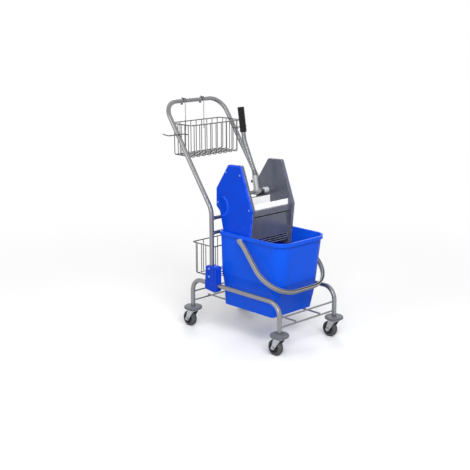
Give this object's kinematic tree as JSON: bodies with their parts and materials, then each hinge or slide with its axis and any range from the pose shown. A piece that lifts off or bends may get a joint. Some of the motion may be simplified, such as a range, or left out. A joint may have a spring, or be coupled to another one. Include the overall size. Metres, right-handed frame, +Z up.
{
  "type": "mop bucket trolley",
  "caption": "Cleaning trolley on swivel casters: a tube frame with a push handle carries a bucket with a lever-operated mop wringer and wire baskets.",
  "frame": {"origin": "on the floor, in the middle of the overall box", "axes": "+Z up, +X forward to the bucket's end away from the push handle, +Y to the left side"},
  "size_m": [0.73, 0.45, 0.95],
  "materials": {
    "frame_metal": "grey powder coat, satin",
    "clamp_plastic": "moulded blue, satin",
    "screw_steel": "zinc plated",
    "caster_steel": "bright zinc plated pressing",
    "bumper_rubber": "grey moulded",
    "hub_plastic": "black moulded",
    "tyre_rubber": "dark grey tread",
    "bucket_plastic": "moulded blue, half gloss",
    "bail_plastic": "moulded grey",
    "wringer_blue": "moulded blue, half gloss",
    "wringer_grey": "moulded dark grey, fine grain",
    "press_white": "moulded white",
    "shaft_steel": "drawn tube and bar, bright",
    "bush_plastic": "moulded pale grey",
    "gear_nylon": "natural nylon",
    "grip_rubber": "black ribbed",
    "basket_wire": "bright plated wire"
  },
  "bodies": {
    "frame": {"left_side_rail": "frame_metal", "right_side_rail": "frame_metal", "cross_rods": "frame_metal", "deck_wires": "frame_metal", "push_handle": "frame_metal", "upper_crossbar": "frame_metal", "lower_crossbar": "frame_metal", "left_clamp_inner": "clamp_plastic", "right_clamp_inner": "clamp_plastic", "left_clamp_outer": "clamp_plastic", "right_clamp_outer": "clamp_plastic", "clamp_screws": "screw_steel", "caster_stems": "caster_steel", "caster_bumpers": "bumper_rubber", "swivel_bearings": "caster_steel"},
    "bucket": {"bucket": "bucket_plastic", "bail_pins": "screw_steel"},
    "bail": {"bail": "bail_plastic"},
    "wringer": {"left_wringer_plate": "wringer_grey", "right_wringer_plate": "wringer_grey", "left_wringer_cover": "wringer_blue", "right_wringer_cover": "wringer_blue", "wringer_front_panel": "wringer_grey", "wringer_rear_wall": "wringer_grey", "sieve_floor": "wringer_grey", "front_jaw": "press_white", "axle_bushes": "bush_plastic", "cover_screws": "screw_steel"},
    "lever": {"lever_axle": "shaft_steel", "lever_socket": "shaft_steel", "lever_set_screw": "screw_steel", "lever_tube": "shaft_steel", "lever_grip": "grip_rubber", "drive_gear": "gear_nylon"},
    "press": {"press_shaft": "shaft_steel", "press_plate": "press_white", "press_gear": "gear_nylon"},
    "upper_basket": {"upper_basket_rim": "basket_wire", "upper_basket_wires": "basket_wire", "upper_basket_hangers": "basket_wire", "upper_basket_arms": "basket_wire"},
    "lower_basket": {"lower_basket_rim": "basket_wire", "lower_basket_wires": "basket_wire", "lower_basket_hooks": "basket_wire"},
    "front_left_fork": {"front_left_fork": "caster_steel", "front_left_axle": "caster_steel"},
    "front_left_wheel": {"front_left_hub": "hub_plastic", "front_left_tyre": "tyre_rubber"},
    "front_right_fork": {"front_right_fork": "caster_steel", "front_right_axle": "caster_steel"},
    "front_right_wheel": {"front_right_hub": "hub_plastic", "front_right_tyre": "tyre_rubber"},
    "rear_left_fork": {"rear_left_fork": "caster_steel", "rear_left_axle": "caster_steel"},
    "rear_left_wheel": {"rear_left_hub": "hub_plastic", "rear_left_tyre": "tyre_rubber"},
    "rear_right_fork": {"rear_right_fork": "caster_steel", "rear_right_axle": "caster_steel"},
    "rear_right_wheel": {"rear_right_hub": "hub_plastic", "rear_right_tyre": "tyre_rubber"}
  },
  "joints": [
    {"name": "bucket_lift", "type": "slide", "parent": "frame", "child": "bucket", "axis": [0, 0, 1], "range_m": [0, 0.35]},
    {"name": "bail_swing", "type": "hinge", "parent": "bucket", "child": "bail", "pos_m": [0.091, 0, 0.41805], "axis": [0, -1, 0], "range_deg": [0, 118]},
    {"name": "wringer_lift", "type": "slide", "parent": "bucket", "child": "wringer", "axis": [0, 0, 1], "range_m": [0, 0.4]},
    {"name": "lever_swing", "type": "hinge", "parent": "wringer", "child": "lever", "pos_m": [-0.007, 0, 0.579], "axis": [0, 1, 0], "range_deg": [0, 80]},
    {"name": "press_swing", "type": "hinge", "parent": "wringer", "child": "press", "pos_m": [-0.00106, 0, 0.52684], "axis": [0, 1, 0], "range_deg": [-40, 0]},
    {"name": "upper_basket_lift", "type": "slide", "parent": "frame", "child": "upper_basket", "axis": [0, 0, 1], "range_m": [0, 0.03]},
    {"name": "lower_basket_lift", "type": "slide", "parent": "frame", "child": "lower_basket", "axis": [0, 0, 1], "range_m": [0, 0.03]},
    {"name": "front_left_swivel", "type": "hinge", "parent": "frame", "child": "front_left_fork", "pos_m": [0.327, 0.161, 0.0695], "axis": [0, 0, 1], "continuous": true},
    {"name": "front_left_roll", "type": "hinge", "parent": "front_left_fork", "child": "front_left_wheel", "pos_m": [0.307, 0.161, 0.0325], "axis": [0, 1, 0], "continuous": true},
    {"name": "front_right_swivel", "type": "hinge", "parent": "frame", "child": "front_right_fork", "pos_m": [0.327, -0.161, 0.0695], "axis": [0, 0, 1], "continuous": true},
    {"name": "front_right_roll", "type": "hinge", "parent": "front_right_fork", "child": "front_right_wheel", "pos_m": [0.307, -0.161, 0.0325], "axis": [0, 1, 0], "continuous": true},
    {"name": "rear_left_swivel", "type": "hinge", "parent": "frame", "child": "rear_left_fork", "pos_m": [-0.181, 0.161, 0.0695], "axis": [0, 0, 1], "continuous": true},
    {"name": "rear_left_roll", "type": "hinge", "parent": "rear_left_fork", "child": "rear_left_wheel", "pos_m": [-0.201, 0.161, 0.0325], "axis": [0, 1, 0], "continuous": true},
    {"name": "rear_right_swivel", "type": "hinge", "parent": "frame", "child": "rear_right_fork", "pos_m": [-0.181, -0.161, 0.0695], "axis": [0, 0, 1], "continuous": true},
    {"name": "rear_right_roll", "type": "hinge", "parent": "rear_right_fork", "child": "rear_right_wheel", "pos_m": [-0.201, -0.161, 0.0325], "axis": [0, 1, 0], "continuous": true}
  ],
  "couplings": [
    {"joint": "press_swing", "follows": "lever_swing", "ratio": -0.5}
  ]
}
